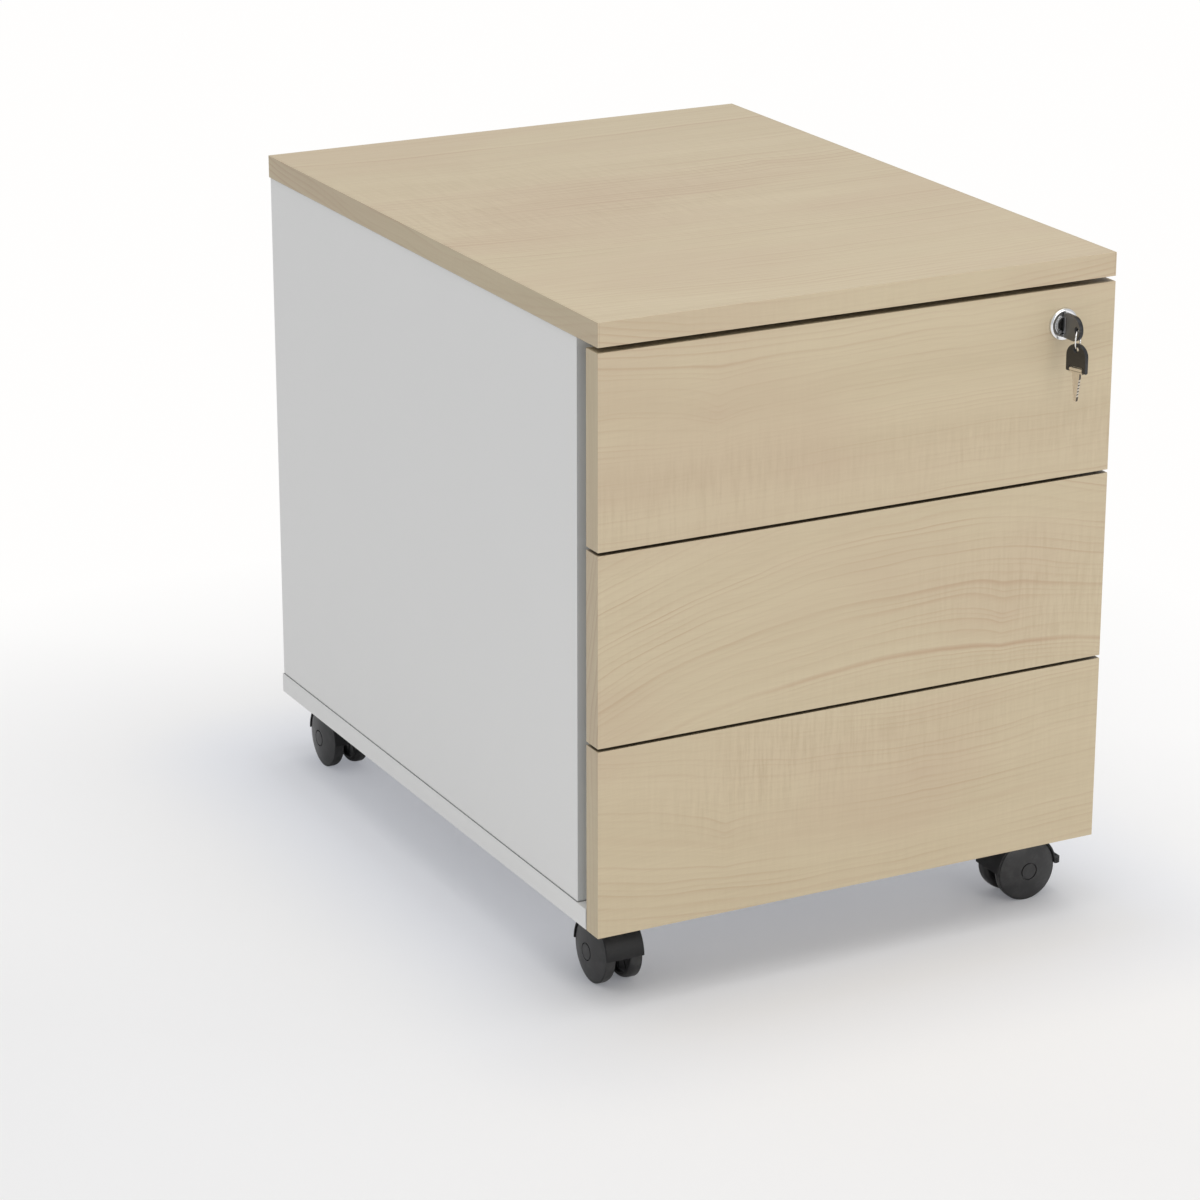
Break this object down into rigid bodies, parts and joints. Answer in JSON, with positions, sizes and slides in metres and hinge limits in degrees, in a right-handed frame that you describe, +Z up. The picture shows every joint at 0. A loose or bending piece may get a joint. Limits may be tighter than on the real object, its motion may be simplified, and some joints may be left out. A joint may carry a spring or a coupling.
{
  "type": "pedestal cabinet",
  "caption": "Wheeled office pedestal with wood-faced drawers, side finger gaps, a central lock with folding keys, and hooded twin-wheel casters.",
  "frame": {"origin": "on the floor, under the middle of the bounding box of the whole cabinet with its keys", "axes": "+X to the right of someone facing the drawers, +Y from the drawer fronts to the back, +Z up"},
  "size_m": [0.43, 0.6092, 0.525],
  "materials": {
    "maple_board": "satin maple-grain laminate",
    "grey_board": "matt light grey laminate",
    "grey_steel": "satin powder coat",
    "zinc_steel": "zinc plated",
    "beech_dowel": "fluted, raw",
    "white_nylon": "satin",
    "chrome_lock": "polished",
    "key_steel": "nickel plated",
    "key_plastic": "satin",
    "black_nylon": "satin",
    "wheel_plastic": "satin"
  },
  "bodies": {
    "cabinet": {"top_panel": "maple_board", "side_panel_left": "grey_board", "side_panel_right": "grey_board", "bottom_panel": "grey_board", "back_panel": "grey_board", "cam_fittings": "zinc_steel", "dowels": "beech_dowel", "panel_screws": "zinc_steel", "runner_rails_top": "grey_steel", "runner_rails_middle": "grey_steel", "runner_rails_bottom": "grey_steel", "runner_screws": "zinc_steel", "lock_bar_guides": "white_nylon", "caster_plates": "zinc_steel", "caster_screws": "zinc_steel"},
    "drawer_top": {"drawer_front_top": "maple_board", "drawer_sides_top": "grey_steel", "drawer_back_top": "grey_board", "drawer_bottom_top": "grey_board", "lock_housing": "chrome_lock"},
    "rear_rollers_top": {"rear_rollers_top": "white_nylon"},
    "front_rollers_top": {"front_rollers_top": "white_nylon"},
    "drawer_middle": {"drawer_front_middle": "maple_board", "drawer_sides_middle": "grey_steel", "drawer_back_middle": "grey_board", "drawer_bottom_middle": "grey_board"},
    "rear_rollers_middle": {"rear_rollers_middle": "white_nylon"},
    "front_rollers_middle": {"front_rollers_middle": "white_nylon"},
    "drawer_bottom": {"drawer_front_bottom": "maple_board", "drawer_sides_bottom": "grey_steel", "drawer_back_bottom": "grey_board", "drawer_bottom_bottom": "grey_board"},
    "rear_rollers_bottom": {"rear_rollers_bottom": "white_nylon"},
    "front_rollers_bottom": {"front_rollers_bottom": "white_nylon"},
    "lock_plug": {"lock_plug": "chrome_lock", "lock_cam": "zinc_steel", "key_blade": "key_steel"},
    "lock_bar": {"lock_bar": "zinc_steel"},
    "key_bow": {"key_bow": "key_plastic"},
    "key_ring": {"key_ring": "key_steel"},
    "spare_key_bow": {"spare_key_bow": "key_plastic"},
    "spare_key_blade": {"spare_key_blade": "key_steel"},
    "caster_front_left": {"hood_front_left": "black_nylon", "axle_front_left": "zinc_steel"},
    "outer_wheel_front_left": {"outer_wheel_front_left": "wheel_plastic"},
    "inner_wheel_front_left": {"inner_wheel_front_left": "wheel_plastic"},
    "brake_lever_front_left": {"brake_lever_front_left": "black_nylon"},
    "caster_front_right": {"hood_front_right": "black_nylon", "axle_front_right": "zinc_steel"},
    "outer_wheel_front_right": {"outer_wheel_front_right": "wheel_plastic"},
    "inner_wheel_front_right": {"inner_wheel_front_right": "wheel_plastic"},
    "brake_lever_front_right": {"brake_lever_front_right": "black_nylon"},
    "caster_back_left": {"hood_back_left": "black_nylon", "axle_back_left": "zinc_steel"},
    "outer_wheel_back_left": {"outer_wheel_back_left": "wheel_plastic"},
    "inner_wheel_back_left": {"inner_wheel_back_left": "wheel_plastic"},
    "caster_back_right": {"hood_back_right": "black_nylon", "axle_back_right": "zinc_steel"},
    "outer_wheel_back_right": {"outer_wheel_back_right": "wheel_plastic"},
    "inner_wheel_back_right": {"inner_wheel_back_right": "wheel_plastic"}
  },
  "joints": [
    {"name": "drawer_top_slide", "type": "slide", "parent": "cabinet", "child": "drawer_top", "axis": [0, -1, 0], "range_m": [0, 0.4]},
    {"name": "rear_rollers_top_roll", "type": "hinge", "parent": "drawer_top", "child": "rear_rollers_top", "pos_m": [0, 0.22859, 0.38987], "axis": [1, 0, 0], "range_deg": [0, 2560]},
    {"name": "front_rollers_top_roll", "type": "hinge", "parent": "cabinet", "child": "front_rollers_top", "pos_m": [0, -0.22541, 0.39087], "axis": [1, 0, 0], "range_deg": [0, 2560]},
    {"name": "drawer_middle_slide", "type": "slide", "parent": "cabinet", "child": "drawer_middle", "axis": [0, -1, 0], "range_m": [0, 0.4]},
    {"name": "rear_rollers_middle_roll", "type": "hinge", "parent": "drawer_middle", "child": "rear_rollers_middle", "pos_m": [0, 0.22859, 0.24203], "axis": [1, 0, 0], "range_deg": [0, 2560]},
    {"name": "front_rollers_middle_roll", "type": "hinge", "parent": "cabinet", "child": "front_rollers_middle", "pos_m": [0, -0.22541, 0.24303], "axis": [1, 0, 0], "range_deg": [0, 2560]},
    {"name": "drawer_bottom_slide", "type": "slide", "parent": "cabinet", "child": "drawer_bottom", "axis": [0, -1, 0], "range_m": [0, 0.4]},
    {"name": "rear_rollers_bottom_roll", "type": "hinge", "parent": "drawer_bottom", "child": "rear_rollers_bottom", "pos_m": [0, 0.22859, 0.0942], "axis": [1, 0, 0], "range_deg": [0, 2560]},
    {"name": "front_rollers_bottom_roll", "type": "hinge", "parent": "cabinet", "child": "front_rollers_bottom", "pos_m": [0, -0.22541, 0.0952], "axis": [1, 0, 0], "range_deg": [0, 2560]},
    {"name": "lock_turn", "type": "hinge", "parent": "drawer_top", "child": "lock_plug", "pos_m": [0.17, -0.27541, 0.476], "axis": [0, 1, 0], "range_deg": [0, 90]},
    {"name": "lock_bar_slide", "type": "slide", "parent": "cabinet", "child": "lock_bar", "axis": [0, 0, -1], "range_m": [0, 0.01273]},
    {"name": "key_fold", "type": "hinge", "parent": "lock_plug", "child": "key_bow", "pos_m": [0.17, -0.27981, 0.476], "axis": [0, 0, 1], "range_deg": [-70, 60]},
    {"name": "ring_swing", "type": "hinge", "parent": "key_bow", "child": "key_ring", "pos_m": [0.17, -0.29521, 0.476], "axis": [1, 0, 0], "range_deg": [-30, 6]},
    {"name": "spare_key_swing", "type": "hinge", "parent": "key_ring", "child": "spare_key_bow", "pos_m": [0.17, -0.29521, 0.4615], "axis": [0.9659, 0.2588, 0], "range_deg": [-40, 6]},
    {"name": "spare_key_fold", "type": "hinge", "parent": "spare_key_bow", "child": "spare_key_blade", "pos_m": [0.17, -0.29521, 0.4461], "axis": [-0.2588, 0.9659, 0], "range_deg": [-90, 90]},
    {"name": "caster_front_left_swivel", "type": "hinge", "parent": "cabinet", "child": "caster_front_left", "pos_m": [-0.176, -0.22291, 0.025], "axis": [0, 0, 1], "continuous": true},
    {"name": "outer_wheel_front_left_roll", "type": "hinge", "parent": "caster_front_left", "child": "outer_wheel_front_left", "pos_m": [-0.176, -0.21791, 0.025], "axis": [1, 0, 0], "continuous": true},
    {"name": "inner_wheel_front_left_roll", "type": "hinge", "parent": "caster_front_left", "child": "inner_wheel_front_left", "pos_m": [-0.176, -0.21791, 0.025], "axis": [1, 0, 0], "continuous": true},
    {"name": "brake_front_left_lift", "type": "hinge", "parent": "caster_front_left", "child": "brake_lever_front_left", "pos_m": [-0.176, -0.20491, 0.025], "axis": [1, 0, 0], "range_deg": [0, 18]},
    {"name": "caster_front_right_swivel", "type": "hinge", "parent": "cabinet", "child": "caster_front_right", "pos_m": [0.176, -0.22291, 0.025], "axis": [0, 0, 1], "continuous": true},
    {"name": "outer_wheel_front_right_roll", "type": "hinge", "parent": "caster_front_right", "child": "outer_wheel_front_right", "pos_m": [0.181, -0.22291, 0.025], "axis": [0, -1, 0], "continuous": true},
    {"name": "inner_wheel_front_right_roll", "type": "hinge", "parent": "caster_front_right", "child": "inner_wheel_front_right", "pos_m": [0.181, -0.22291, 0.025], "axis": [0, -1, 0], "continuous": true},
    {"name": "brake_front_right_lift", "type": "hinge", "parent": "caster_front_right", "child": "brake_lever_front_right", "pos_m": [0.194, -0.22291, 0.025], "axis": [0, -1, 0], "range_deg": [0, 18]},
    {"name": "caster_back_left_swivel", "type": "hinge", "parent": "cabinet", "child": "caster_back_left", "pos_m": [-0.176, 0.27159, 0.025], "axis": [0, 0, 1], "continuous": true},
    {"name": "outer_wheel_back_left_roll", "type": "hinge", "parent": "caster_back_left", "child": "outer_wheel_back_left", "pos_m": [-0.176, 0.27659, 0.025], "axis": [1, 0, 0], "continuous": true},
    {"name": "inner_wheel_back_left_roll", "type": "hinge", "parent": "caster_back_left", "child": "inner_wheel_back_left", "pos_m": [-0.176, 0.27659, 0.025], "axis": [1, 0, 0], "continuous": true},
    {"name": "caster_back_right_swivel", "type": "hinge", "parent": "cabinet", "child": "caster_back_right", "pos_m": [0.176, 0.27159, 0.025], "axis": [0, 0, 1], "continuous": true},
    {"name": "outer_wheel_back_right_roll", "type": "hinge", "parent": "caster_back_right", "child": "outer_wheel_back_right", "pos_m": [0.176, 0.27659, 0.025], "axis": [1, 0, 0], "continuous": true},
    {"name": "inner_wheel_back_right_roll", "type": "hinge", "parent": "caster_back_right", "child": "inner_wheel_back_right", "pos_m": [0.176, 0.27659, 0.025], "axis": [1, 0, 0], "continuous": true}
  ],
  "couplings": [
    {"joint": "rear_rollers_top_roll", "follows": "drawer_top_slide", "rad_per_m": 111.11},
    {"joint": "front_rollers_top_roll", "follows": "drawer_top_slide", "rad_per_m": 111.11},
    {"joint": "rear_rollers_middle_roll", "follows": "drawer_middle_slide", "rad_per_m": 111.11},
    {"joint": "front_rollers_middle_roll", "follows": "drawer_middle_slide", "rad_per_m": 111.11},
    {"joint": "rear_rollers_bottom_roll", "follows": "drawer_bottom_slide", "rad_per_m": 111.11},
    {"joint": "front_rollers_bottom_roll", "follows": "drawer_bottom_slide", "rad_per_m": 111.11},
    {"joint": "lock_turn", "follows": "lock_bar_slide", "rad_per_m": 123.41}
  ]
}
